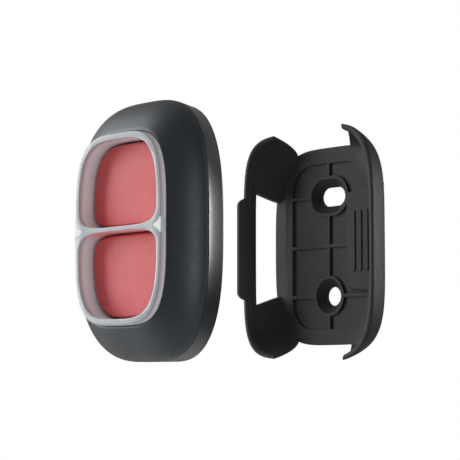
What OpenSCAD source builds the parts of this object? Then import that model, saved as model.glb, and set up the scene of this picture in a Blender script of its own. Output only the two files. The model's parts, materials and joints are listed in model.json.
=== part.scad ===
// Two-key panic button and its wall holder, button shown pulled straight off the holder.
// Millimetres. Z up, the holder's back on the wall plane y = 0, everything stands out along -Y.

/* [Button body] */
// height of the body at its widest line
body_h = 47; // [38:0.5:58]
// width of the body at its widest line
body_w = 31.6; // [26:0.2:38]
// from the widest line forward to the face of the guard frame
front_depth = 7.6; // [6.2:0.1:9.2]
// from the widest line back to the rear face
rear_depth = 7.5; // [6.2:0.1:9]
// how squarely the outline is rounded (2 is an ellipse)
body_square = 3.2; // [2.6:0.1:4]
// wall of the two shells
wall_t = 1.2; // [0.9:0.1:1.6]

/* [Guard frame and keys] */
// half width of the guard frame
frame_a = 11.92; // [10.5:0.02:13]
// half height of the guard frame
frame_b = 17.14; // [15:0.02:19]
// width of the frame wall
frame_t = 1.15; // [0.9:0.05:1.6]
// thickness of the bar between the two keys
divider_t = 0.8; // [0.6:0.1:1.4]
// how far the keys lie below the frame face
key_recess = 3.1; // [2.6:0.1:4]
// how far a key goes in
key_travel = 0.6; // [0.4:0.1:0.9]
// free space all round a key
key_gap = 0.4; // [0.3:0.05:0.7]
// height of an arrow window at its base
arrow_h = 2.7; // [1.8:0.1:3.6]
// length of an arrow window toward its tip
arrow_l = 2.2; // [1.6:0.1:3]

/* [Wall holder] */
// thickness of the back plate
plate_t = 2.1; // [1.6:0.1:3]
// height of the side walls above the floor
wall_h = 6.6; // [5:0.1:8]
// half width of the open top and bottom at the arm's rim
gap_left = 9; // [8.7:0.1:10.5]
// half width of the open top and bottom at the arm's foot
foot_left = 8.4; // [7.5:0.1:10]
// half width of the open top and bottom at the claws' rim
gap_right = 9.7; // [8.5:0.1:11]
// half width of the open top and bottom at the claws' foot
foot_right = 6; // [5:0.1:9]
// depth of the two pockets in the floor
pocket_d = 0.8; // [0.4:0.1:1.2]
// distance between the two screw holes
screw_pitch = 20; // [16:0.5:24]
// through hole of a screw
screw_d = 3.8; // [3:0.1:4.5]
// straight land under the countersink
land = 0.6; // [0.4:0.1:1]
// mouth of the countersink
sink_d = 6.9; // [6:0.1:8]
// extra length of the slotted hole
slot_extra = 2.6; // [0:0.1:4]
// height of the raised pad above the floor
pad_h = 0.9; // [0.6:0.05:1.2]
// distance from the middle to the pad's straight edge
pad_x = 5.6; // [5.4:0.1:7]
// how far the finger tab stands past the arm's rim
tab_rise = 1.8; // [0.8:0.1:2.6]
// length of the finger tab
tab_l = 20.8; // [14:0.2:24]

/* [Pulled off] */
// how far the button is held off its seat
pull_off = 38.1; // [20:0.1:60]

/* [Hidden] */
N = 64;
sx = body_w / 31.6;
sy = body_h / 47;
ra = body_w / 2;
rb = body_h / 2;
bar_h = 0.25;
floor_z = plate_t;
seat_z = plate_t + pad_h + bar_h + 0.35;      // rear face of a seated button
ridge_z = seat_z + rear_depth + pull_off;     // widest line of the pulled-off button
rim_z = floor_z + wall_h;
// chain of levels inside the button, 0 is the widest line, plus is forward
key_top = front_depth - key_recess;
key_bot = key_top - 0.95;
seal_top = key_bot - key_travel - 0.2;
seal_bot = seal_top - 0.33;
deck_top = seal_bot - 0.02;
deck_bot = deck_top - 0.9;
pcb_top = deck_bot - 2.3;
pcb_bot = pcb_top - 1;
rear_in = -rear_depth + wall_t;
cell_back = rear_in + 0.28;
cell_t = min(3.2, pcb_bot - 0.6 - cell_back);
cell_top = cell_back + cell_t;
cell_y = -3.6 * sy;
cell_r = min(10, (12.4 * sx - wall_t) - 1.15);
key_y = 8.25 * frame_b / 17.14;
boss_y = 15.7 * sy;
dome_top = front_depth - 1.15;
well_a = frame_a + 0.08;
well_b = frame_b + 0.08;
in_a = frame_a - frame_t;
in_b = frame_b - frame_t;
arrow_z = front_depth - 2.1;
leg_x = (in_a + frame_a) / 2;

// rounded outline, n = 2 is an ellipse, larger is squarer
function sq(a, b, n, m = N) = [for (i = [0:m - 1]) let (t = 360 * i / m, c = cos(t), s = sin(t))
    [a * sign(c) * pow(abs(c), 2 / n), b * sign(s) * pow(abs(s), 2 / n)]];
// rounded rectangle by corner arcs
function rr(a, b, r, k = 6) = [for (q = [0:3]) for (i = [0:k]) let (t = 90 * q + 90 * i / k,
    cx = (q == 0 || q == 3) ? a - r : r - a, cy = q < 2 ? b - r : r - b)
    [cx + r * cos(t), cy + r * sin(t)]];
// key outline: follows the frame above its widest line y0, rounded corners at the bar below it
frame_n = 3.73;
function key_pts(g, m = 56) = let (a = in_a - g, b = in_b - g, y0 = 0.35 * in_b,
    a0 = a * pow(1 - pow(y0 / b, frame_n), 1 / frame_n), dn = y0 - divider_t / 2 - g)
    [for (i = [0:m - 1]) let (t = 360 * i / m, c = cos(t), s = sin(t),
        x = a0 * sign(c) * pow(abs(c), 2 / (s >= 0 ? frame_n : 4.6)))
    [x, s >= 0 ? b * pow(1 - pow(abs(x) / a, frame_n), 1 / frame_n) : y0 - dn * pow(-s, 2 / 4.6)]];

// skin through outlines of equal length; ring = true closes the last level to the first
module skin(levels, zs, ring = false) {
    m = len(levels[0]);
    L = len(levels);
    pts = [for (k = [0:L - 1]) for (p = levels[k]) [p[0], p[1], zs[k]]];
    side = [for (k = [0:(ring ? L - 1 : L - 2)]) for (i = [0:m - 1]) let (j = (i + 1) % m,
        q = (k + 1) % L) each [[k * m + i, q * m + i, q * m + j], [k * m + i, q * m + j, k * m + j]]];
    caps = ring ? [] : [[for (i = [0:m - 1]) i], [for (i = [m - 1:-1:0]) (L - 1) * m + i]];
    polyhedron(points = pts, faces = concat(side, caps));
}
module off() { rotate([90, 0, 0]) translate([0, 0, ridge_z]) children(); }
module on_wall() { rotate([90, 0, 0]) children(); }
module block(x0, x1, y0, y1, z0, z1) { translate([x0, y0, z0]) cube([x1 - x0, y1 - y0, z1 - z0]); }

// body outlines
function dome_w(u) = ra + (well_a + 0.4 - ra) * pow(u, 1.94);
function dome_h(u) = rb + (well_b + 0.4 - rb) * pow(u, 1.78);
function dome(u) = sq(dome_w(u), dome_h(u), body_square + 0.4 * u);
edge_a = 12.9 * sx;
function band(u) = sq(ra + (edge_a - ra) * pow(u, 1.12), rb - 0.1 * u, body_square - 0.45 * u);
function inset(u, t) = sq(ra - t + (edge_a - ra) * pow(u, 1.12), rb - t - 0.1 * u, body_square - 0.45 * u);
band_z = -(rear_depth - 1.4);

// wall holder: each outline has its own height and squareness on the arm side
function two(a, b, n, bl, nl) = [for (i = [0:71]) let (c = cos(5 * i), s = sin(5 * i), l = c < -0.01,
    e = 2 / (l ? nl : n)) [a * sign(c) * pow(abs(c), e), (l ? bl : b) * sign(s) * pow(abs(s), e)]];
function rim_out(u) = two((14.9 + 2.9 * pow(u, 0.8)) * sx, (19.75 + 3.55 * sqrt(u)) * sy, 4.8 - 0.4 * u,
    (19.75 + 2.85 * pow(u, 0.55)) * sy, 3.5 + 1.9 * u);
function rim_in(u) = two((13.7 + 2.9 * pow(u, 0.8)) * sx, (19.1 + 3.65 * sqrt(u)) * sy, 4.5 - 0.5 * u,
    (19.1 + 2.9 * pow(u, 0.55)) * sy, 3.5 + 2.3 * u);
module bowl() {
    us = [0, 0.08, 0.25, 0.5, 0.75, 0.93];
    ui = [1, 0.8, 0.55, 0.3, 0.12, 0.03, 0];
    skin(concat([two(13 * sx, 18.3 * sy, 4.5, 18.3 * sy, 3.5)], [for (u = us) rim_out(u)],
            [two(17.6 * sx, 23.1 * sy, 4.4, 22.4 * sy, 5.4)], [for (u = ui) rim_in(u)]),
        concat([0], [for (u = us) floor_z + wall_h * u], [rim_z],
            [for (u = ui) floor_z + wall_h * u]));
}
module boss_out(e, z0, z1, r) {
    for (s = [-e, e]) translate([s, 0, z0]) cylinder(r = r, h = z1 - z0, $fn = 48);
    if (e > 0) block(-e, e, -r, r, z0, z1);
}
module pocket() {
    difference() {
        translate([0, 0, floor_z - pocket_d]) linear_extrude(2) polygon(rr(10 * sx, 16.6 * sy, 5.5));
        translate([0, -screw_pitch / 2, 0]) boss_out(0, 0, 9, sink_d / 2 + 0.6);
        translate([0, screw_pitch / 2, 0]) boss_out(slot_extra / 2, 0, 9, sink_d / 2 + 0.6);
        block(-0.35, 0.35, -20, 20, 0, 9);
        block(-20, 20, -0.35, 0.35, 0, 9);
        for (s = [-1, 1]) block(-20, 20, s * screw_pitch / 2 - 0.35, s * screw_pitch / 2 + 0.35, 0, 9);
        block(pad_x, 20, -9 * sy, 10.3 * sy, 0, 9);
    }
}
function pill(e, r, k = 12) = [for (q = [0, 1]) for (i = [0:k]) let (t = -90 + 180 * q + 180 * i / k)
    [(q == 0 ? e : -e) + r * cos(t), r * sin(t)]];
// round countersunk hole, and the same hole drawn out sideways into a slot
module sink() {
    rotate_extrude($fn = 48) polygon([[0, -1], [screw_d / 2, -1], [screw_d / 2, land],
        [sink_d / 2, floor_z], [sink_d / 2, floor_z + 1], [0, floor_z + 1]]);
}
module slot_sink() {
    e = slot_extra / 2;
    skin([pill(e, screw_d / 2), pill(e, screw_d / 2), pill(e, sink_d / 2), pill(e, sink_d / 2)],
        [-1, land, floor_z, floor_z + 1]);
}
module holder() {
    slope = atan(2.9 * sx / wall_h);
    color([0.17, 0.18, 0.19]) on_wall() difference() {
        union() {
            difference() {
                bowl();
                rotate([90, 0, 0]) linear_extrude(80, center = true) polygon([[-foot_left, floor_z],
                    [foot_right, floor_z], [gap_right + 0.2, floor_z + wall_h * 0.74],
                    [gap_right, rim_z + 0.1], [gap_right, 30], [-gap_left, 30], [-gap_left, rim_z]]);
                translate([-10, 0, 0]) rotate([90, 0, -90]) linear_extrude(15)
                    polygon([[-9.7 * sy, floor_z], [9.7 * sy, floor_z], [11.6 * sy, floor_z + wall_h * 0.71],
                        [-11.6 * sy, floor_z + wall_h * 0.71]]);
                pocket();
            }
            // raised pad with three plain bars
            translate([0, 0, floor_z - 1]) linear_extrude(1 + pad_h) polygon([[pad_x, -7.6 * sy],
                [pad_x + 1.4, -9 * sy], [13.9 * sx, -9 * sy], [13.9 * sx, 10.3 * sy], [pad_x, 10.3 * sy]]);
            for (x = [pad_x + 2, pad_x + 3.7, pad_x + 5.4])
                block(x - 0.4, x + 0.4, -5.5 * sy, 6.5 * sy, floor_z, floor_z + pad_h + bar_h);
            // finger tab on the arm
            translate([-16.2 * sx, 0, rim_z - 1.6]) rotate([0, -slope, 0]) translate([0.2, 0, 0])
                rotate([90, 0, -90]) linear_extrude(1.15) polygon([[-tab_l / 2, 0], [tab_l / 2, 0],
                    [tab_l / 2, 0.8 + tab_rise], [tab_l / 2 - 0.8, 1.6 + tab_rise],
                    [0.8 - tab_l / 2, 1.6 + tab_rise], [-tab_l / 2, 0.8 + tab_rise]]);
        }
        translate([0, -screw_pitch / 2, 0]) sink();
        translate([0, screw_pitch / 2, 0]) slot_sink();
    }
}

// shells
module front_shell() {
    us = [0, 0.2, 0.4, 0.6, 0.78, 0.92, 1];
    color([0.2, 0.21, 0.215]) off() difference() {
        skin(concat([for (u = us) dome(u)], [sq(well_a, well_b, frame_n), sq(well_a, well_b, frame_n)]),
            concat([for (u = us) dome_top * u], [dome_top, deck_top]));
        // hollow under the deck
        translate([0, 0, -1]) linear_extrude(deck_bot + 1)
            polygon(sq(ra - wall_t - 1.9, rb - wall_t - 2.4, 3.2));
        for (s = [-1, 1]) {
            translate([0, s * key_y, -1]) cylinder(r = 1.85, h = 6, $fn = 36);
            block(s * leg_x - 0.5, s * leg_x + 0.5, -0.85, 0.85, -1, deck_top + 1);
        }
    }
}
module screw_posts() {
    for (s = [-1, 1]) translate([0, s * boss_y, 0]) difference() {
        translate([0, 0, rear_in + 0.03]) cylinder(r = 1.7, h = deck_bot - rear_in - 0.05, $fn = 36);
        translate([0, 0, rear_in - 1]) cylinder(r = 0.8, h = 4.5, $fn = 36);
    }
}
// inner carrier: two screw posts and four board rests on one thin plate
module carrier() {
    color([0.26, 0.27, 0.28]) off() difference() {
        union() {
            screw_posts();
            for (x = [-1, 1]) for (y = [-1, 1])
                block(x * 10.2 * sx - 0.6, x * 10.2 * sx + 0.6, y * 11 * sy - 0.6, y * 11 * sy + 0.6,
                    pcb_top + 0.02, deck_bot - 0.3);
            translate([0, 0, deck_bot - 0.62]) linear_extrude(0.6)
                polygon(sq(ra - wall_t - 2.1, rb - wall_t - 2.6, 3.2));
        }
        translate([0, 0, deck_bot - 3]) linear_extrude(5) polygon(rr(5.2, 12.4 * sy, 1));
        for (s = [-1, 1]) block(s * leg_x - 0.6, s * leg_x + 0.6, -0.95, 0.95, deck_bot - 3, deck_bot + 1);
    }
}
module rear_cover() {
    us = [0, 0.25, 0.5, 0.75, 1];
    color([0.3, 0.31, 0.32]) off() difference() {
        skin(concat([sq(11.2 * sx, 18.3 * sy, 3.2), sq(11.6 * sx, 18.8 * sy, 3.2),
                sq(12.2 * sx, 20.5 * sy, 3), sq(12.75 * sx, 22.6 * sy, 2.85)], [for (i = [4:-1:0]) band(us[i])],
                [inset(0, wall_t), inset(0.55, wall_t), inset(0.88, wall_t),
                sq(11.6 * sx - wall_t, 18.9 * sy - wall_t, 3.2)]),
            concat([-rear_depth, -rear_depth + 0.35, band_z - 0.6, band_z - 0.2],
                [for (i = [4:-1:0]) band_z * us[i] - 0.1],
                [-0.1, band_z * 0.55, band_z * 0.88, rear_in]));
        translate([0, 0, -rear_depth - 1]) linear_extrude(1.15) polygon(rr(8.2 * sx, 10.2 * sy, 1.6));
        for (s = [-1, 1]) translate([0, s * boss_y, -rear_depth - 1]) {
            cylinder(r = 0.95, h = 6, $fn = 36);
            cylinder(r = 1.6, h = wall_t + 0.6, $fn = 36);
        }
    }
}
module shell_gasket() {
    o = sq(ra - wall_t - 0.6, rb - wall_t - 0.4, body_square, 48);
    i = sq(ra - wall_t - 1.2, rb - wall_t - 1, body_square, 48);
    color([0.08, 0.08, 0.085]) off() skin([o, o, i, i], [-0.9, -0.02, -0.02, -0.9], true);
}

// guard frame with the bar, and the two light windows set into it
module wedge(g, z0, z1) {
    translate([0, 0, z0]) linear_extrude(z1 - z0) polygon([[frame_a + 0.06 - g, -arrow_h / 2 + g],
        [frame_a + 0.06 - g, arrow_h / 2 - g], [frame_a - arrow_l + 1.6 * g, 0]]);
}
module guard_frame() {
    color([0.74, 0.76, 0.77, 0.75]) off() difference() {
        union() {
            skin([for (g = [0, 0, 0.15, frame_t - 0.15, frame_t, frame_t]) sq(frame_a - g, frame_b - g, frame_n)],
                [for (z = [0, 1, 2, 2, 1, 0]) z == 0 ? deck_top + 0.05 : front_depth - (2 - z) * 0.15], true);
            block(-in_a - 0.4, in_a + 0.4, -divider_t / 2, divider_t / 2,
                seal_top + 0.05, front_depth - 0.08);
            for (s = [0, 1]) mirror([s, 0, 0]) translate([0, 0, arrow_z - 0.6]) linear_extrude(2.65)
                polygon([[in_a + 0.3, -1.15], [in_a + 0.3, 1.15], [frame_a - arrow_l - 0.6, 0]]);
        }
        for (s = [0, 1]) mirror([s, 0, 0]) {
            wedge(0, arrow_z, front_depth + 1);
            block(leg_x - 0.36, leg_x + 0.36, -0.76, 0.76, deck_top - 1, arrow_z + 0.5);
        }
    }
}
module arrow_window() {
    color([0.95, 0.95, 0.93]) {
        wedge(0.04, arrow_z + 0.03, front_depth + 0.02);
        block(leg_x - 0.3, leg_x + 0.3, -0.7, 0.7, pcb_top + 0.85, arrow_z + 0.2);
    }
}
module left_arrow_window() { off() mirror([1, 0, 0]) arrow_window(); }
module right_arrow_window() { off() arrow_window(); }

// keys, seal and switches
module key() {
    y0 = key_y;
    p = key_pts(key_gap + 0.5);
    color([0.86, 0.42, 0.43]) {
        skin(concat([key_pts(key_gap), key_pts(key_gap), key_pts(key_gap + 0.13)],
                [for (f = [1, 0.82, 0.45]) [for (q = p) [q[0] * f, y0 + (q[1] - y0) * f]]]),
            [key_bot, key_top - 0.45, key_top - 0.16, key_top, key_top + 0.12, key_top + 0.24]);
        translate([0, key_y, deck_bot + 0.2]) cylinder(r = 1.5, h = key_bot - deck_bot - 0.1, $fn = 36);
    }
}
module upper_key() { off() key(); }
module lower_key() { off() mirror([0, 1, 0]) key(); }
module plunger() {
    color([0.9, 0.9, 0.88]) translate([0, key_y, pcb_top + 1]) cylinder(r = 1.5, h = 1.48, $fn = 36);
}
module upper_plunger() { off() plunger(); }
module lower_plunger() { off() mirror([0, 1, 0]) plunger(); }
module key_seal() {
    color([0.62, 0.6, 0.58]) off() difference() {
        translate([0, 0, seal_bot]) linear_extrude(seal_top - seal_bot)
            polygon(sq(in_a - 0.15, in_b - 0.15, frame_n, 56));
        for (s = [-1, 1]) translate([0, s * key_y, -1]) cylinder(r = 1.85, h = 9, $fn = 36);
    }
}
module switch_body() {
    color([0.12, 0.12, 0.13]) difference() {
        block(-3, 3, key_y - 3, key_y + 3, pcb_top + 0.01, pcb_top + 1.8);
        translate([0, key_y, pcb_top + 0.92 - key_travel]) cylinder(r = 1.85, h = 3, $fn = 36);
    }
}
module upper_switch_body() { off() switch_body(); }
module lower_switch_body() { off() mirror([0, 1, 0]) switch_body(); }

// board and what sits on it
module circuit_board() {
    color([0.07, 0.3, 0.18]) off() difference() {
        translate([0, 0, pcb_bot]) linear_extrude(pcb_top - pcb_bot)
            polygon(sq(ra - wall_t - 2.5, rb - wall_t - 3, 3.2));
        for (s = [-1, 1]) translate([0, s * boss_y, pcb_bot - 1]) cylinder(r = 2, h = 4, $fn = 36);
    }
}
module radio_module() { color([0.08, 0.22, 0.4]) off() block(-4.5, 4.5, -4, 4, pcb_top + 0.01, pcb_top + 0.8); }
module radio_can() {
    color([0.75, 0.76, 0.77]) off() block(-3.9, 3.9, -3.2, 3.2, pcb_top + 0.81, pcb_top + 1.9);
}
module processor_chip() {
    color([0.06, 0.06, 0.07]) off() block(-9.6, -5.6, 4, 8, pcb_top + 0.01, pcb_top + 0.8);
}
module led() {
    color([0.97, 0.94, 0.8])
        block(leg_x - 0.45, leg_x + 0.45, -0.8, 0.8, pcb_top + 0.01, pcb_top + 0.7);
}
module left_led() { off() mirror([1, 0, 0]) led(); }
module right_led() { off() led(); }
module antenna() {
    color([0.72, 0.45, 0.2]) off() for (k = [0:3]) {
        x = 5.2 + 1.1 * k;
        y = k % 2 == 0 ? 12.6 : 4.5;
        block(x, x + 0.4, 4.5, 13, pcb_top + 0.01, pcb_top + 0.2);
        if (k < 3) block(x, x + 1.5, y, y + 0.4, pcb_top + 0.01, pcb_top + 0.2);
    }
}
module battery_contact() {
    p = pcb_bot - 0.01;
    q = cell_top + 0.02;
    color([0.8, 0.78, 0.7]) off() translate([-2, cell_y, 0]) rotate([90, 0, 90]) linear_extrude(4)
        polygon([[-4, p], [4, p], [4, p - 0.2], [0.5, p - 0.2], [-4, q], [-5.2, q],
            [-5.2, q + 0.2], [-4.5, q + 0.2], [0, p - 0.2], [-4, p - 0.2]]);
}
module coin_cell() {
    color([0.78, 0.79, 0.8]) off() translate([0, cell_y, cell_back]) {
        cylinder(r = cell_r, h = cell_t - 0.5, $fn = 96);
        cylinder(r = cell_r - 1.2, h = cell_t, $fn = 96);
    }
}
module battery_clip() {
    y = cell_y + cell_r + 0.35;
    color([0.8, 0.78, 0.7]) off() {
        block(-2.5, 2.5, cell_y - 4, y + 0.3, rear_in + 0.04, rear_in + 0.26);
        block(-2.5, 2.5, y, y + 0.3, rear_in + 0.04, pcb_bot - 0.01);
    }
}
module cover_screw(s) {
    color([0.55, 0.56, 0.57]) off() translate([0, s * boss_y, 0]) difference() {
        union() {
            translate([0, 0, rear_in - 1.1]) cylinder(r = 1.45, h = 0.68, $fn = 36);
            translate([0, 0, rear_in - 0.6]) cylinder(r = 0.75, h = 3.8, $fn = 36);
        }
        block(-0.9, 0.9, -0.17, 0.17, rear_in - 2, rear_in - 0.75);
        block(-0.17, 0.17, -0.9, 0.9, rear_in - 2, rear_in - 0.75);
    }
}
module upper_cover_screw() { cover_screw(1); }
module lower_cover_screw() { cover_screw(-1); }
module rear_label() {
    color([0.85, 0.86, 0.86]) off() translate([0, 0, -rear_depth]) linear_extrude(0.13)
        polygon(rr(8 * sx, 10 * sy, 1.5));
}

holder();
front_shell();
rear_cover();
shell_gasket();
carrier();
guard_frame();
left_arrow_window();
right_arrow_window();
key_seal();
circuit_board();
upper_switch_body();
lower_switch_body();
radio_module();
radio_can();
processor_chip();
antenna();
left_led();
right_led();
battery_contact();
coin_cell();
battery_clip();
upper_cover_screw();
lower_cover_screw();
rear_label();
upper_key();
upper_plunger();
lower_key();
lower_plunger();
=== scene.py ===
# Two-key panic button pulled off its wall holder: the looks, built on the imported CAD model.
# Lengths in this file are written in millimetres and turned into metres when a mesh is made.
import json

import bmesh
import bpy
import numpy as np
from mathutils import Matrix, Vector


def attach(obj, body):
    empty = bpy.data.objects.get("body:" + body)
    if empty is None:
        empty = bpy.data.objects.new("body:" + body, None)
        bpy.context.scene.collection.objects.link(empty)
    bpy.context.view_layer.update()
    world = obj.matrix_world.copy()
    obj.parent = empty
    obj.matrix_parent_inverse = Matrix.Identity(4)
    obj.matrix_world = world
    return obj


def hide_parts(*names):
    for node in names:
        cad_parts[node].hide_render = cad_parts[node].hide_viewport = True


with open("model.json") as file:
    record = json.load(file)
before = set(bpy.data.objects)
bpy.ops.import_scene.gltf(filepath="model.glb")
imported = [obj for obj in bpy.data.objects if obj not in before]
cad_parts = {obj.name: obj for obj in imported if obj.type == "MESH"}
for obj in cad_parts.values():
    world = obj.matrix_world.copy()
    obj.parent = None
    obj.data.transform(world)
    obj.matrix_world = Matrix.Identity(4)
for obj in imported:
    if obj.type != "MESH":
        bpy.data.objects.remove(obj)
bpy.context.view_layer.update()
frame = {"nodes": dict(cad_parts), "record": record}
NODES = frame["nodes"]
MM = 0.001

# ---------------------------------------------------------------- sizes, as in the design
PLATE = 2.1            # holder's back plate
WALL = 6.6             # holder's walls above its floor
PAD, PAD_X = 0.9, 5.6  # raised pad on the floor: its height and its straight edge
POCKET = 0.38          # depth of the pockets between the ribs, as they look
RIDGE = 49.2           # from the wall to the widest line of the pulled-off body
FRONT, REAR = 7.6, 7.5  # body in front of and behind its widest line
HALF_W, HALF_H = 15.8, 23.5  # body
FRAME_W, FRAME_H, FRAME_T = 11.92, 17.14, 1.15
IN_W, IN_H = FRAME_W - FRAME_T, FRAME_H - FRAME_T
KEY_TOP = FRONT - 3.1
KEY_UNDER = KEY_TOP - 0.95
DECK = 2.4             # front shell's deck, which carries the guard frame
DIVIDER = 0.8          # bar between the keys
DOME_TOP = FRONT - 1.15
BAND_BACK = -(REAR - 1.4)  # where the side band ends and the rounded back starts
FRAME_N = 3.73         # how squarely the guard frame is rounded
KEY_MID = 8.25         # from the middle of the bar to the middle of a key
SCREW_MID = 10.0       # from the middle of the holder to each wall screw
SLOT_HALF = 1.3        # half of the upper screw's sideways adjustment
COVER_SCREW = 15.7     # from the middle of the body to each cover screw
LEG_X = 11.345         # from the middle of the body to each light guide's leg
LEFT_RIGHT = (-1, 1)


# ---------------------------------------------------------------- outlines and skins
def even_spacing(points, count):
    """The same closed curve with count points at equal distances along it, starting at its first point."""
    p = np.vstack([points, points[:1]])
    run = np.concatenate([[0], np.cumsum(np.linalg.norm(np.diff(p, axis=0), axis=1))])
    s = np.linspace(0, run[-1], count, endpoint=False)
    return np.stack([np.interp(s, run, p[:, k]) for k in range(p.shape[1])], 1)


def rounded(a, b, n, count=256):
    """Superellipse: |x/a|^n + |y/b|^n = 1, evenly spaced in each quarter from the +X tip."""
    t = np.linspace(0, np.pi / 2, 600)
    q = np.stack([a * np.cos(t) ** (2 / n), b * np.sin(t) ** (2 / n)], 1)
    run = np.concatenate([[0], np.cumsum(np.linalg.norm(np.diff(q, axis=0), axis=1))])
    s = np.linspace(0, run[-1], count // 4 + 1)
    q = np.stack([np.interp(s, run, q[:, 0]), np.interp(s, run, q[:, 1])], 1)
    one = q[:-1]
    two = (q * [-1, 1])[::-1][:-1]
    return np.vstack([one, two, -one, -two])


def key_outline(shrink, count=192, low=4.6):
    """Outline of the upper key or its well. Above y0 it follows the frame's inner superellipse, made smaller by
    shrink: y = b (1 - |x/a|^n)^(1/n); below y0 it rounds into the bar as a superellipse of exponent low."""
    t = np.linspace(0, 2 * np.pi, 4000, endpoint=False)
    c, s = np.cos(t), np.sin(t)
    a, b, n = IN_W - shrink, IN_H - shrink, FRAME_N
    y0 = 0.35 * IN_H
    a0 = a * (1 - (y0 / b) ** n) ** (1 / n)
    x = a0 * np.sign(c) * np.abs(c) ** (2 / np.where(s >= 0, n, low))
    crown = b * (1 - (np.abs(x) / a) ** n) ** (1 / n)
    foot = y0 - (y0 - DIVIDER / 2 - shrink) * np.abs(np.minimum(s, 0)) ** (2 / low)
    return even_spacing(np.stack([x, np.where(s >= 0, crown, foot)], 1), count)


def to_row(points, base):
    """Points (x, y up, height off the wall) to the shared frame: X, -height, up, in metres. base is added to the
    height."""
    p = np.asarray(points, float)
    return np.stack([p[..., 0], -(p[..., 2] + base), p[..., 1]], -1) * MM


def grid_faces(rows, cols, around=True, closed=False):
    """Quads of a grid of rows by cols points; around joins the last column to the first, closed the last row
    too."""
    r = np.arange(rows if closed else rows - 1)
    c = np.arange(cols if around else cols - 1)
    R, C = np.meshgrid(r, c, indexing="ij")
    R2, C2 = (R + 1) % rows, (C + 1) % cols
    return np.stack([R * cols + C, R * cols + C2, R2 * cols + C2, R2 * cols + C], -1).reshape(-1, 4)


def make_mesh(name, verts, faces, smooth=35.0):
    """A mesh object at the origin from metre points and faces, shaded smooth except where faces meet over smooth
    degrees."""
    me = bpy.data.meshes.new(name)
    me.from_pydata(np.asarray(verts, float).reshape(-1, 3).tolist(), [], [list(map(int, f)) for f in faces])
    me.update()
    me.validate()
    bm = bmesh.new()
    bm.from_mesh(me)
    bmesh.ops.remove_doubles(bm, verts=bm.verts, dist=1e-7)
    bmesh.ops.recalc_face_normals(bm, faces=bm.faces)
    bm.to_mesh(me)
    bm.free()
    ob = bpy.data.objects.new(name, me)
    bpy.context.scene.collection.objects.link(ob)
    shade(ob, smooth)
    return ob


def shade(ob, smooth=35.0):
    """Smooth shading, with a sharp edge wherever two faces meet over smooth degrees."""
    me = ob.data
    me.polygons.foreach_set("use_smooth", np.ones(len(me.polygons), bool))
    me.set_sharp_from_angle(angle=np.radians(smooth))
    me.update()


def skin(name, outlines, heights, base, ring=False, smooth=35.0):
    """Closed skin through outlines of equal point count at the given heights. ring joins the last outline to the
    first; otherwise both ends are closed with one face."""
    rows, cols = len(outlines), len(outlines[0])
    pts = np.array([np.column_stack([o, np.full(cols, z)]) for o, z in zip(outlines, heights)])
    faces = grid_faces(rows, cols, True, ring).tolist()
    if not ring:
        faces += [list(range(cols))[::-1], [(rows - 1) * cols + i for i in range(cols)]]
    return make_mesh(name, to_row(pts, base), faces, smooth)


def cut(ob, *tools):
    """Takes the tools' space out of ob, exactly, and throws the tools away."""
    for tool in tools:
        m = ob.modifiers.new("cut", "BOOLEAN")
        m.operation, m.solver, m.object = "DIFFERENCE", "EXACT", tool
        settle(ob)
        bpy.data.objects.remove(tool, do_unlink=True)
    return ob


def join_in(ob, *tools):
    """Adds the tools' space to ob, exactly."""
    for tool in tools:
        m = ob.modifiers.new("join", "BOOLEAN")
        m.operation, m.solver, m.object = "UNION", "EXACT", tool
        settle(ob)
        bpy.data.objects.remove(tool, do_unlink=True)
    return ob


def settle(ob):
    """Applies ob's modifiers."""
    dg = bpy.context.evaluated_depsgraph_get()
    me = bpy.data.meshes.new_from_object(ob.evaluated_get(dg), depsgraph=dg)
    ob.modifiers.clear()
    old = ob.data
    ob.data = me
    bpy.data.meshes.remove(old)


def block(name, x, y, z, base=0.0):
    """Rectangular block between the paired limits, in holder or body millimetres."""
    o = np.array([[x[0], y[0]], [x[1], y[0]], [x[1], y[1]], [x[0], y[1]]], float)
    return skin(name, [o, o], z, base)


def disc(radius, centre=(0, 0), count=96):
    """Circle: centre + radius (cos t, sin t)."""
    t = np.linspace(0, 2 * np.pi, count, endpoint=False)
    return np.stack([centre[0] + radius * np.cos(t), centre[1] + radius * np.sin(t)], 1)


def pill(half, radius, centre=(0, 0), count=48):
    """Stadium: two half circles of that radius, their centres half apart from the middle along x."""
    t = np.linspace(-np.pi / 2, np.pi / 2, count)
    r = np.stack([half + radius * np.cos(t), radius * np.sin(t)], 1)
    return np.vstack([r, -r]) + centre


def round_box(a, b, r, centre=(0, 0), k=14):
    """Rectangle of half sizes a, b with quarter-circle corners of radius r."""
    t = np.linspace(0, np.pi / 2, k)
    q = np.stack([a - r + r * np.cos(t), b - r + r * np.sin(t)], 1)
    w = (q * [-1, 1])[::-1]
    return np.vstack([q, w, -q, -w]) + centre


# ---------------------------------------------------------------- materials
GRAIN_DEPTH, WAVE_DEPTH = 0.00002, 0.00006
COOL_GLOSS = (0.93, 0.99, 1.05, 1)  # slightly blue highlights


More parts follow.
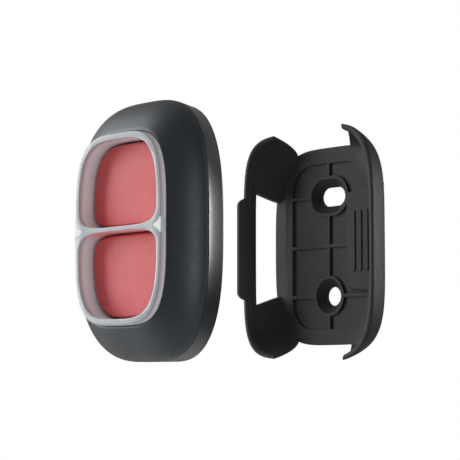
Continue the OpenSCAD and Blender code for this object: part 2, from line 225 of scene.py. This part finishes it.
class Shader:
    """Small helper round one node material: link() wires sockets, span() and blend() map a value to a number or a
    colour, and noise() samples the object's own coordinates, in metres times scale."""

    def __init__(self, name, **settings):
        self.mat = bpy.data.materials.new(name)
        self.mat.use_nodes = True
        self.tree = self.mat.node_tree
        self.bsdf = self.tree.nodes["Principled BSDF"]
        for key, value in settings.items():
            self.bsdf.inputs[key.replace("_", " ")].default_value = value
        self.coord = self.tree.nodes.new("ShaderNodeTexCoord").outputs["Object"]

    def link(self, a, b):
        self.tree.links.new(a, b)

    def noise(self, scale, detail=3.0, rough=0.5, stretch=(1, 1, 1)):
        m = self.tree.nodes.new("ShaderNodeMapping")
        m.inputs["Scale"].default_value = stretch
        self.link(self.coord, m.inputs["Vector"])
        n = self.tree.nodes.new("ShaderNodeTexNoise")
        n.inputs["Scale"].default_value = scale
        n.inputs["Detail"].default_value = detail
        n.inputs["Roughness"].default_value = rough
        self.link(m.outputs["Vector"], n.inputs["Vector"])
        return n.outputs["Fac"]

    def span(self, fac, low, high, a, b):
        """fac from low..high mapped to a..b, clamped."""
        m = self.tree.nodes.new("ShaderNodeMapRange")
        for k, v in (("From Min", low), ("From Max", high), ("To Min", a), ("To Max", b)):
            m.inputs[k].default_value = v
        self.link(fac, m.inputs["Value"])
        return m.outputs["Result"]

    def blend(self, fac, a, b):
        m = self.tree.nodes.new("ShaderNodeMix")
        m.data_type = "RGBA"
        m.inputs["A"].default_value = (*a, 1)
        m.inputs["B"].default_value = (*b, 1)
        self.link(fac, m.inputs["Factor"])
        return m.outputs["Result"]

    def soft_edges(self, radius):
        """Normals that round every sharp edge over radius metres."""
        b = self.tree.nodes.new("ShaderNodeBevel")
        b.samples = 4
        b.inputs["Radius"].default_value = radius
        self.link(b.outputs["Normal"], self.bsdf.inputs["Normal"])
        return b.outputs["Normal"]

    def bump(self, *layers, last=None):
        """Each layer is (height socket, strength, distance in metres); last is the normal they start from."""
        for height, strength, distance in layers:
            b = self.tree.nodes.new("ShaderNodeBump")
            b.inputs["Strength"].default_value = strength
            b.inputs["Distance"].default_value = distance
            self.link(height, b.inputs["Height"])
            if last:
                self.link(last, b.inputs["Normal"])
            last = b.outputs["Normal"]
        self.link(last, self.bsdf.inputs["Normal"])

    def colour(self, socket):
        self.link(socket, self.bsdf.inputs["Base Color"])

    def rough(self, socket):
        self.link(socket, self.bsdf.inputs["Roughness"])


def moulded(name, dark, light, rough_lo, rough_hi, grain=5200.0, strength=0.25, wave=0.05, edge=0.0, **settings):
    """Moulded plastic: spark-eroded grain, slow colour drift between dark and light, uneven gloss, slight sink
    marks. grain is the noise scale, strength and wave the heights of grain and sink marks, edge the radius in
    metres that sharp edges are rounded to."""
    s = Shader(name, **settings)
    slow = s.noise(160.0, 3.0, 0.55)
    s.colour(s.blend(s.span(slow, 0.3, 0.7, 0.0, 1.0), dark, light))
    fine = s.noise(900.0, 4.0, 0.6)
    s.rough(s.span(fine, 0.3, 0.7, rough_lo, rough_hi))
    start = s.soft_edges(edge) if edge else None
    if strength or wave:
        s.bump((s.noise(grain, 2.0, 0.6), strength, GRAIN_DEPTH),
               (s.noise(260.0, 2.0, 0.5), wave, WAVE_DEPTH), last=start)
    return s.mat


dome_plastic = moulded("dome_plastic", (0.0112, 0.0143, 0.0172), (0.0138, 0.0173, 0.0206), 0.42, 0.5,
                       strength=0.16, Specular_Tint=COOL_GLOSS)
band_plastic = moulded("band_plastic", (0.008, 0.0100, 0.0120), (0.0100, 0.0122, 0.0145), 0.27, 0.3,
                       strength=0.0, wave=0.0, Specular_Tint=COOL_GLOSS)
holder_plastic = moulded("holder_plastic", (0.0198, 0.0200, 0.0208), (0.0252, 0.0254, 0.0264), 0.46, 0.54,
                         strength=0.14, edge=0.00014, Specular_IOR_Level=0.1)
key_red = moulded("key_red", (0.555, 0.082, 0.087), (0.60, 0.092, 0.097), 0.44, 0.54,
                  grain=6000.0, strength=0.16, Specular_IOR_Level=0.28)
# the faint white emission is a painted glow: the light guides are unlit and carry no lamp
light_guide = moulded("light_guide", (0.50, 0.53, 0.53), (0.55, 0.58, 0.58), 0.3, 0.4,
                      strength=0.06, Emission_Color=(1, 1, 1, 1), Emission_Strength=0.02)
inner_plastic = moulded("inner_plastic", (0.05, 0.053, 0.056), (0.065, 0.068, 0.07), 0.45, 0.6)
black_rubber = moulded("black_rubber", (0.008, 0.008, 0.009), (0.012, 0.012, 0.012), 0.7, 0.85)
# seal red, lightened to stand for red light bounced into the gaps round the keys: partly the seal's own red,
# partly painted bounce light
key_seal_rubber = moulded("key_seal_rubber", (0.52, 0.085, 0.095), (0.58, 0.10, 0.11), 0.6, 0.75)
switch_black = moulded("switch_black", (0.012, 0.012, 0.013), (0.018, 0.018, 0.019), 0.4, 0.5)
plunger_white = moulded("plunger_white", (0.72, 0.72, 0.69), (0.78, 0.78, 0.75), 0.35, 0.45)
chip_black = moulded("chip_black", (0.008, 0.008, 0.009), (0.012, 0.012, 0.013), 0.35, 0.5)
label_white = moulded("label_white", (0.66, 0.67, 0.67), (0.71, 0.72, 0.72), 0.4, 0.5, strength=0.1)
led_body = moulded("led_body", (0.86, 0.82, 0.6), (0.9, 0.86, 0.66), 0.2, 0.3, Transmission_Weight=0.3)


def metal(name, colour, rough_lo, rough_hi, stretch=(1, 1, 1)):
    """Plated metal with drawn or rolled streaks and small stains."""
    s = Shader(name, Metallic=1.0)
    streak = s.noise(1400.0, 3.0, 0.6, stretch)
    s.colour(s.blend(s.span(s.noise(300.0), 0.3, 0.7, 0.0, 1.0), [c * 0.88 for c in colour], colour))
    s.rough(s.span(streak, 0.3, 0.7, rough_lo, rough_hi))
    s.bump((streak, 0.12, GRAIN_DEPTH))
    return s.mat


cell_steel = metal("cell_steel", (0.72, 0.72, 0.71), 0.22, 0.34, (1, 1, 12))
spring_metal = metal("spring_metal", (0.78, 0.73, 0.6), 0.25, 0.36, (12, 1, 1))
tinned_steel = metal("tinned_steel", (0.7, 0.71, 0.72), 0.3, 0.45)
screw_steel = metal("screw_steel", (0.42, 0.43, 0.44), 0.25, 0.38)
copper_trace = metal("copper_trace", (0.8, 0.42, 0.22), 0.3, 0.4)


def board(name, dark, light):
    """Solder mask over glass cloth: a faint woven check and clean gloss."""
    s = Shader(name, Roughness=0.35, Coat_Weight=0.3)
    weave = s.noise(2600.0, 1.0, 0.4, (1, 1, 1.6))
    s.colour(s.blend(s.span(weave, 0.35, 0.65, 0.0, 1.0), dark, light))
    s.bump((weave, 0.1, GRAIN_DEPTH))
    return s.mat


board_green = board("board_green", (0.008, 0.085, 0.035), (0.012, 0.12, 0.05))
module_blue = board("module_blue", (0.008, 0.03, 0.11), (0.012, 0.045, 0.15))


def clear_grey_shader():
    """Translucent grey-white moulding. Light scatters about 1.8 mm inside it, red furthest. Its front face is
    grey, and its walls are painted paler further from the face, painted light where the lamps fall on them; the
    thin bar is painted pink, a painted reflection of the keys' red light, and each light guide shows in the outer
    wall."""
    s = Shader("clear_grey", IOR=1.46, Specular_IOR_Level=0.34, Coat_Weight=0.08, Coat_Roughness=0.25,
               Subsurface_Weight=0.55, Subsurface_Radius=(1.0, 0.6, 0.6), Subsurface_Scale=0.0018)
    split = s.tree.nodes.new("ShaderNodeSeparateXYZ")
    s.link(s.coord, split.inputs["Vector"])
    face = -(RIDGE + FRONT) * MM
    # colour by depth behind the front face: the face's own grey, then paler walls, which is painted light where
    # the lamps fall on the wells' walls
    depth_light_ramp = s.tree.nodes.new("ShaderNodeValToRGB")
    s.link(s.span(split.outputs["Y"], face, face + 0.003, 0.0, 1.0), depth_light_ramp.inputs["Fac"])
    grey_face_and_wall_light = ((0.04, (0.30, 0.328, 0.347)), (0.16, (0.55, 0.50, 0.52)), (0.38, (0.74, 0.80, 0.83)),
             (0.75, (0.82, 0.82, 0.85)))
    depth_light_ramp.color_ramp.elements.new(0.5)
    depth_light_ramp.color_ramp.elements.new(0.7)
    for element, (place, tint) in zip(depth_light_ramp.color_ramp.elements, grey_face_and_wall_light):
        element.position, element.color = place, (*tint, 1)

    def beside(axis, near, far):
        """1 within near of the axis' zero plane, falling to 0 at far."""
        size = s.tree.nodes.new("ShaderNodeMath")
        size.operation = "ABSOLUTE"
        s.link(split.outputs[axis], size.inputs[0])
        return s.span(size.outputs[0], near, far, 1.0, 0.0)

    def times(a, b):
        """The product of two values."""
        m = s.tree.nodes.new("ShaderNodeMath")
        m.operation = "MULTIPLY"
        s.link(a, m.inputs[0])
        s.link(b, m.inputs[1])
        return m.outputs[0]

    deep = s.span(split.outputs["Y"], face + 0.0002, face + 0.0004, 0.0, 1.0)
    # the bar's pink is painted light: red light bounced off the keys onto the bar, painted into its colour
    bar = times(times(beside("Z", 0.0011, 0.0026), beside("X", 0.0078, 0.0096)), deep)
    outer = s.span(beside("X", 0.0114, 0.0117), 0.0, 1.0, 1.0, 0.0)
    guides = times(beside("Z", 0.00125, 0.0014), outer)
    last = depth_light_ramp.outputs["Color"]
    for share, tint in ((bar, (0.98, 0.42, 0.45)), (guides, (0.95, 0.97, 0.97))):
        mix = s.blend(share, tint, tint)
        s.link(last, mix.node.inputs["A"])
        last = mix
    s.colour(last)
    s.rough(s.span(s.noise(600.0, 2.0, 0.5), 0.3, 0.7, 0.28, 0.34))
    s.soft_edges(0.00016)
    return s.mat


clear_grey = clear_grey_shader()
SLOTS = {"holder_plastic": holder_plastic, "dome_plastic": dome_plastic, "band_plastic": band_plastic,
         "black_rubber": black_rubber, "inner_plastic": inner_plastic, "clear_grey": clear_grey,
         "light_guide": light_guide, "key_seal_rubber": key_seal_rubber, "board_green": board_green,
         "switch_black": switch_black, "module_blue": module_blue, "tinned_steel": tinned_steel,
         "chip_black": chip_black, "copper_trace": copper_trace, "led_body": led_body,
         "spring_metal": spring_metal, "cell_steel": cell_steel, "screw_steel": screw_steel,
         "label_white": label_white, "key_red": key_red, "plunger_white": plunger_white}


def finish_piece(ob, slot, body, *stands_for):
    """Gives a piece its material and its body, and hides the CAD nodes that it replaces."""
    ob.data.materials.clear()
    ob.data.materials.append(SLOTS[slot])
    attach(ob, body)
    if stands_for:
        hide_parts(*stands_for)
    return ob


# ---------------------------------------------------------------- body shells
def dome_outline(u, grow=0.0):
    """Outline of the dome at share u of its height: the half width falls as u^1.94, the half height as u^1.78."""
    w = HALF_W + (FRAME_W + 0.48 - HALF_W) * u ** 1.94 + grow
    h = HALF_H + (FRAME_H + 0.48 - HALF_H) * u ** 1.78 + grow
    return rounded(w, h, 3.2 + 0.4 * u)


def build_dome():
    """Front shell: seam lip, bulged side, small rounded edge round the frame's opening, then down the opening."""
    u = np.concatenate([np.linspace(0, 0.9, 34), np.linspace(0.915, 0.985, 5)])
    outs = [rounded(HALF_W - 1.6, HALF_H - 1.6, 3.2), dome_outline(0, -0.12)]
    zs = [0.0, 0.0]
    outs += [dome_outline(0, -0.02)] + [dome_outline(k) for k in u[1:]]
    zs += [0.08] + [DOME_TOP * k for k in u[1:]]
    outs += [rounded(FRAME_W + 0.4, FRAME_H + 0.4, 3.62), rounded(FRAME_W + 0.2, FRAME_H + 0.2, 3.7),
             rounded(FRAME_W + 0.09, FRAME_H + 0.09, 3.73), rounded(FRAME_W + 0.08, FRAME_H + 0.08, 3.73),
             rounded(FRAME_W + 0.08, FRAME_H + 0.08, 3.73)]
    zs += [DOME_TOP - 0.03, DOME_TOP, DOME_TOP - 0.06, DOME_TOP - 0.2, DECK]
    ob = skin("dome_shell", outs, zs, RIDGE, smooth=50)
    hollow = skin("hollow", [rounded(12.7, 19.9, 3.2, 96)] * 2, [-1, DECK - 0.9], RIDGE)
    holes = [skin("stem_hole", [disc(1.85, (0, s * KEY_MID), 48)] * 2, [-1, 4], RIDGE) for s in LEFT_RIGHT]
    slots = [block("leg_slot", (s * LEG_X - 0.5, s * LEG_X + 0.5), (-0.85, 0.85), (-1, 3), RIDGE)
             for s in LEFT_RIGHT]
    cut(ob, hollow, *holes, *slots)
    shade(ob, 40)
    return ob


def band_outline(u, inward=0.0):
    """Outline of the rear band at share u from the widest line to the back edge: the half width falls as u^1.12,
    the half height by 0.1 u."""
    return rounded(HALF_W - inward + (12.9 - HALF_W) * u ** 1.12, HALF_H - inward - 0.1 * u, 3.2 - 0.45 * u)


def build_band():
    """Rear cover: satin band tapering to the back edge, rounded shoulder, step, flat back; hollow inside."""
    outs, zs = [rounded(11.1, 18.2, 3.2)], [-REAR]
    for k in np.linspace(0.25, 1, 4):
        a = k * np.pi / 2
        outs.append(rounded(11.1 + 0.4 * np.sin(a), 18.2 + 0.5 * np.sin(a), 3.2))
        zs.append(-REAR + 0.35 * (1 - np.cos(a)))
    outs += [rounded(11.75, 19.3, 3.1), rounded(12.1, 20.3, 3.0)]
    zs += [BAND_BACK - 0.85, BAND_BACK - 0.65]
    for k in np.linspace(0, 1, 7):
        a = k * np.pi / 2
        outs.append(rounded(12.2 + 0.7 * np.sin(a), 21.4 + 2.0 * np.sin(a), 2.95 - 0.2 * k))
        zs.append(BAND_BACK - 0.1 - 0.42 * np.cos(a) ** 1.3)
    for u in np.linspace(1, 0, 14)[1:-1]:
        outs.append(band_outline(u))
        zs.append(BAND_BACK * u - 0.1)
    outs += [band_outline(0.0, 0.02), band_outline(0, 0.12), band_outline(0, 1.2), band_outline(0.55, 1.2),
             band_outline(0.88, 1.2), rounded(10.4, 17.7, 3.2)]
    zs += [-0.2, -0.1, -0.1, BAND_BACK * 0.55, BAND_BACK * 0.88, -REAR + 1.2]
    ob = skin("rear_band", outs, zs, RIDGE, smooth=50)
    recess = skin("recess", [round_box(8.2, 10.2, 1.6)] * 2, [-REAR - 1, -REAR + 0.15], RIDGE)
    sinks = [skin("sink", [disc(1.6, (0, s * COVER_SCREW), 64)] * 2, [-REAR - 1, -REAR + 0.8], RIDGE)
             for s in LEFT_RIGHT]
    bores = [skin("bore", [disc(0.95, (0, s * COVER_SCREW), 48)] * 2, [-REAR - 1, -REAR + 4], RIDGE)
             for s in LEFT_RIGHT]
    cut(ob, recess, *sinks, *bores)
    shade(ob, 40)
    return ob


# ---------------------------------------------------------------- guard frame and keys
def well_tool(mirror, lip=0.14):
    """The space of one key well: straight walls and a mouth that flares by a quarter circle of radius lip."""
    outs, zs = [key_outline(0), key_outline(0)], [DECK - 1, FRONT - lip]
    for k in np.linspace(0.25, 1, 4):
        a = k * np.pi / 2
        outs.append(key_outline(-lip * (1 - np.cos(a))))
        zs.append(FRONT - lip + lip * np.sin(a))
    outs.append(key_outline(-lip))
    zs.append(FRONT + 1)
    if mirror:
        outs = [o * [1, -1] for o in outs]
    return skin("well", outs, zs, RIDGE)


def build_guard():
    """Guard frame: outer wall with a rounded front edge, two key wells cut out of it so that a bar stays between
    them, and two arrow notches with a slot for each light guide's leg."""
    outs, zs = [rounded(FRAME_W, FRAME_H, FRAME_N)] * 2, [DECK + 0.05, FRONT - 0.32]
    for k in np.linspace(0.2, 1, 5):
        a = k * np.pi / 2
        g = 0.32 * (1 - np.cos(a))
        outs.append(rounded(FRAME_W - g, FRAME_H - g, FRAME_N))
        zs.append(FRONT - 0.32 + 0.32 * np.sin(a))
    ob = skin("guard", outs, zs, RIDGE)
    cut(ob, well_tool(False), well_tool(True))
    for s in LEFT_RIGHT:
        tri = np.array([[FRAME_W + 0.06, -1.35], [FRAME_W + 0.06, 1.35], [FRAME_W - 2.2, 0]]) * [s, 1]
        notch = skin("notch", [tri, tri], [FRONT - 2.1, FRONT + 1], RIDGE)
        leg = block("leg", (s * LEG_X - 0.36, s * LEG_X + 0.36), (-0.76, 0.76), (DECK - 1, FRONT - 1.6), RIDGE)
        cut(ob, notch, leg)
    shade(ob, 30)
    return ob


def build_key(name, mirror):
    """Key: straight skirt, quarter-round shoulder, and a crown that rises as 1 - r^2 to 0.24 mm in the middle."""
    outs, zs = [key_outline(0.42), key_outline(0.42)], [KEY_UNDER, KEY_TOP - 0.42]
    for k in np.linspace(0.15, 1, 7):
        a = k * np.pi / 2
        outs.append(key_outline(0.42 + 0.42 * (1 - np.cos(a))))
        zs.append(KEY_TOP - 0.42 + 0.42 * np.sin(a))
    edge, mid = outs[-1], np.array([0.0, KEY_MID])
    for r in np.linspace(0.94, 0.06, 16):
        outs.append(mid + (edge - mid) * r)
        zs.append(KEY_TOP + 0.24 * (1 - r * r))
    if mirror:
        outs = [o * [1, -1] for o in outs]
    ob = skin(name, outs, zs, RIDGE, smooth=60)
    s = -1 if mirror else 1
    return join_stem(ob, s)


def join_stem(ob, s):
    """The key's stem, down to the switch plunger."""
    stem = skin("stem", [disc(1.5, (0, s * KEY_MID), 40)] * 2, [DECK - 0.7, KEY_UNDER + 0.05], RIDGE)
    join_in(ob, stem)
    shade(ob, 50)
    return ob


# ---------------------------------------------------------------- holder
def two_sided(a, b, n, arm_b, arm_n, count=256):
    """Superellipse with its own half height and exponent on the arm side, x < 0."""
    o, arm = rounded(a, b, n, count), rounded(a, arm_b, arm_n, count)
    o[count // 4 + 1:3 * count // 4] = arm[count // 4 + 1:3 * count // 4]
    return o


def cradle_out(u):
    """Outside of the holder's wall at share u of its height: the half width grows as u^0.8, the half height as
    u^0.5, and as u^0.55 on the arm's side."""
    return two_sided(14.9 + 2.9 * u ** 0.8, 19.75 + 3.55 * u ** 0.5, 4.8 - 0.4 * u, 19.75 + 2.85 * u ** 0.55,
                     3.5 + 1.9 * u)


def cradle_in(u):
    """Inside of the holder's wall at share u of its height, 1.2 mm in at the floor."""
    return two_sided(13.7 + 2.9 * u ** 0.8, 19.1 + 3.65 * u ** 0.5, 4.5 - 0.5 * u, 19.1 + 2.9 * u ** 0.55,
                     3.5 + 2.3 * u)


def build_holder():
    """Holder: bowl skin, opened at top and bottom and by the arm's window, with pockets, ribs, screw seats, pad,
    bars and finger tab."""
    outs, zs = [two_sided(12.8, 18.1, 4.5, 18.1, 3.5)], [0.0]
    for k in (0.5, 1.0):
        outs.append(two_sided(12.8 + 0.2 * k, 18.1 + 0.2 * k, 4.5, 18.1 + 0.2 * k, 3.5))
        zs.append(0.2 * k)
    for u in np.linspace(0, 0.975, 19) ** 2:
        outs.append(cradle_out(u))
        zs.append(PLATE + WALL * u)
    a, b = cradle_out(1.0), cradle_in(1.0)
    for k, h in ((0.1, 0.985), (0.3, 1.0), (0.7, 1.0), (0.9, 0.985)):
        outs.append(a + (b - a) * k)
        zs.append(PLATE + WALL * h)
    for u in (0.95, 0.88, 0.84, 0.82, 0.8, 0.7, 0.6, 0.5, 0.4, 0.3, 0.2, 0.12, 0.06, 0.02, 0):
        lip = 0.07 * np.clip((u - 0.8) / 0.04, 0, 1)
        o = cradle_in(u)
        outs.append(o * (1 - lip / 17.0))
        zs.append(PLATE + WALL * u)
    ob = skin("cradle", outs, zs, 0.0)
    rim = PLATE + WALL
    mouth = np.array([[-8.41, PLATE], [6.0, PLATE], [9.9, PLATE + WALL * 0.74], [9.7, rim + 0.1], [9.7, 30],
                      [-9.0, 30], [-9.0, rim]])
    mouth = np.array([[[x, y, z] for x, z in mouth] for y in (-40, 40)])
    ends = [list(range(7))[::-1], list(range(7, 14))]
    gap = make_mesh("gap", to_row(mouth, 0.0), grid_faces(2, 7).tolist() + ends)
    side = [(-9.7, PLATE), (9.7, PLATE), (11.6, PLATE + WALL * 0.71), (-11.6, PLATE + WALL * 0.71)]
    tri = np.array([[-30.0, y, z] for y, z in side] + [[-12.0, y, z] for y, z in side])
    window = make_mesh("window", to_row(tri, 0.0), [(0, 1, 2, 3), (7, 6, 5, 4), (0, 4, 5, 1), (1, 5, 6, 2),
                                                   (2, 6, 7, 3), (3, 7, 4, 0)])
    cut(ob, gap, window)
    # pockets, one by one, leave the ribs, bosses and pad between them
    pocket = skin("pocket", [round_box(10, 16.6, 5.5)] * 2, [PLATE - POCKET, PLATE + 2], 0.0)
    low = skin("low", [disc(4.05, (0, -SCREW_MID))] * 2, [0, 9], 0.0)
    high = skin("high", [pill(SLOT_HALF, 4.05, (0, SCREW_MID))] * 2, [0, 9], 0.0)
    ribs = [block("rib", (-0.35, 0.35), (-20, 20), (0.1, 8.9)),
            block("rib", (-20, 20), (-0.35, 0.35), (0.2, 8.8)),
            block("rib", (-20, 20), (9.65, 10.35), (0.3, 8.7)),
            block("rib", (-20, 20), (-10.35, -9.65), (0.4, 8.6)),
            block("pad", (PAD_X, 20), (-9, 10.2), (0.5, 8.5))]
    cut(pocket, low, high, *ribs)
    cut(ob, pocket)
    pad = np.array([[PAD_X, -7.6], [PAD_X + 1.4, -9.0], [13.9, -9.6], [13.9, 11.6], [PAD_X + 1.6, 10.5],
                    [PAD_X, 9.4]])
    inset = np.array([[0.22, 0.1], [0.1, 0.22], [0, 0.22], [0, -0.22], [0.1, -0.22], [0.22, -0.1]])
    join_in(ob, skin("pad", [pad, pad, pad + inset], [PLATE - 1, PLATE + PAD - 0.2, PLATE + PAD], 0.0))
    for x in (PAD_X + 2, PAD_X + 3.7, PAD_X + 5.4):
        bar = round_box(0.4, 6.0, 0.39, (x, 0.5), 8)
        join_in(ob, skin("bar", [bar, bar], [PLATE, PLATE + PAD + 0.16], 0.0))
    slope = np.arctan(2.9 / WALL)
    side = np.array([[-10.8, 0], [10.8, 0], [10.4, 2.0], [10.1, 2.6], [9.7, 3.05], [9.1, 3.35],
                     [-9.1, 3.35], [-9.7, 3.05], [-10.1, 2.6], [-10.4, 2.0]], float)
    tab = np.array([[[x, y, z] for y, z in side] for x in (0.2, -0.95)])
    x = -16.2 + tab[..., 0] * np.cos(slope) - tab[..., 2] * np.sin(slope)
    z = rim - 1.6 + tab[..., 2] * np.cos(slope) + tab[..., 0] * np.sin(slope)
    pts = np.stack([x, tab[..., 1], z], -1)
    faces = grid_faces(2, 10).tolist() + [list(range(10))[::-1], list(range(10, 20))]
    join_in(ob, make_mesh("tab", to_row(pts, 0.0), faces))
    radii, depths = (1.9, 1.9, 3.45, 3.45), (-1, 0.6, PLATE, PLATE + 1)
    round_tool = skin("round_sink", [disc(r, (0, -SCREW_MID)) for r in radii], depths, 0.0)
    slot_tool = skin("slot_sink", [pill(SLOT_HALF, r, (0, SCREW_MID)) for r in radii], depths, 0.0)
    cut(ob, round_tool, slot_tool)
    shade(ob, 32)
    return ob


finish_piece(build_dome(), "dome_plastic", "button_body", "front_shell")
finish_piece(build_band(), "band_plastic", "button_body", "rear_cover")
finish_piece(build_guard(), "clear_grey", "button_body", "guard_frame")
finish_piece(build_key("key_cap_upper", False), "key_red", "upper_key_body", "upper_key")
finish_piece(build_key("key_cap_lower", True), "key_red", "lower_key_body", "lower_key")
finish_piece(build_holder(), "holder_plastic", "holder", "holder")

for part in frame["record"]["subparts"]:
    node = NODES[part["node"]]
    node.data.materials.clear()
    node.data.materials.append(SLOTS[part["material_slot"]])

# ---------------------------------------------------------------- floor, light, camera
FLOOR_Z, FLOOR_HALF = -0.28, 0.8  # metres
bm = bmesh.new()
bmesh.ops.create_grid(bm, x_segments=8, y_segments=8, size=FLOOR_HALF)
floor_mesh = bpy.data.meshes.new("floor")
bm.to_mesh(floor_mesh)
bm.free()
floor = bpy.data.objects.new("floor", floor_mesh)
floor.location = (0, 0, FLOOR_Z)
bpy.context.scene.collection.objects.link(floor)
paper = Shader("paper", Roughness=0.9)
paper.colour(paper.blend(paper.noise(30.0), (0.74, 0.74, 0.74), (0.77, 0.77, 0.77)))
floor_mesh.materials.append(paper.mat)

# the camera's direction, its place beside, above and before the body's middle in millimetres, and its lens
azimuth, elevation = np.radians(46.64), np.radians(-5.24)
right = Vector((np.cos(azimuth), np.sin(azimuth), 0))
back = Vector((np.sin(azimuth) * np.cos(elevation), -np.cos(azimuth) * np.cos(elevation), np.sin(elevation)))
up = back.cross(right)
shift = (-14.58, -0.23, -300.0)
eye = Vector((0, -RIDGE, 0)) - (right * shift[0] + up * shift[1] + back * shift[2])
cam_data = bpy.data.cameras.new("camera")
cam_data.sensor_width = 36
cam_data.lens = 1665.23 / 460 * 36
cam_data.clip_start, cam_data.clip_end = 0.01, 50
camera = bpy.data.objects.new("camera", cam_data)
rot = Matrix((right, up, back)).transposed().to_4x4()
camera.matrix_world = Matrix.Translation(eye * MM) @ rot
bpy.context.scene.collection.objects.link(camera)
bpy.context.scene.camera = camera


def panel(name, place, aim, width, height, power):
    """A soft rectangular light at place, facing aim; metres and watts."""
    light = bpy.data.lights.new(name, "AREA")
    light.shape, light.size, light.size_y, light.energy = "RECTANGLE", width, height, power
    ob = bpy.data.objects.new(name, light)
    ob.location = place
    ob.rotation_euler = (Vector(aim) - Vector(place)).to_track_quat("-Z", "Y").to_euler()
    bpy.context.scene.collection.objects.link(ob)


middle = (0, -0.03, 0)
panel("key_panel", (-0.62, -0.35, 0.2), middle, 0.35, 0.8, 7.1)
panel("band_panel", (0.13, 0.45, 0.052), (0.0145, -0.046, 0), 0.12, 0.05, 0.62)
panel("right_panel", (0.7, -0.1, -0.02), middle, 0.26, 0.24, 1.3)

world = bpy.data.worlds.new("studio")
bpy.context.scene.world = world
world.use_nodes = True
wt = world.node_tree
sky = wt.nodes["Background"]
sky.inputs["Color"].default_value = (1, 1, 1, 1)
# the room is brightest up, left and in front: strength rises with the cosine to that direction
way = wt.nodes.new("ShaderNodeTexCoord")
dot = wt.nodes.new("ShaderNodeVectorMath")
dot.operation = "DOT_PRODUCT"
dot.inputs[1].default_value = (-0.43, -0.52, 0.74)
wt.links.new(way.outputs["Generated"], dot.inputs[0])
span = wt.nodes.new("ShaderNodeMapRange")
for key, value in (("From Min", -0.5), ("From Max", 0.9), ("To Min", 0.09), ("To Max", 0.47)):
    span.inputs[key].default_value = value
wt.links.new(dot.outputs["Value"], span.inputs["Value"])
wt.links.new(span.outputs["Result"], sky.inputs["Strength"])
seen = wt.nodes.new("ShaderNodeBackground")
seen.inputs["Color"].default_value = (1, 1, 1, 1)
seen.inputs["Strength"].default_value = 1.0
path = wt.nodes.new("ShaderNodeLightPath")
mix = wt.nodes.new("ShaderNodeMixShader")
wt.links.new(path.outputs["Is Camera Ray"], mix.inputs["Fac"])
wt.links.new(sky.outputs["Background"], mix.inputs[1])
wt.links.new(seen.outputs["Background"], mix.inputs[2])
wt.links.new(mix.outputs["Shader"], wt.nodes["World Output"].inputs["Surface"])
bpy.context.scene.view_settings.view_transform = "Standard"
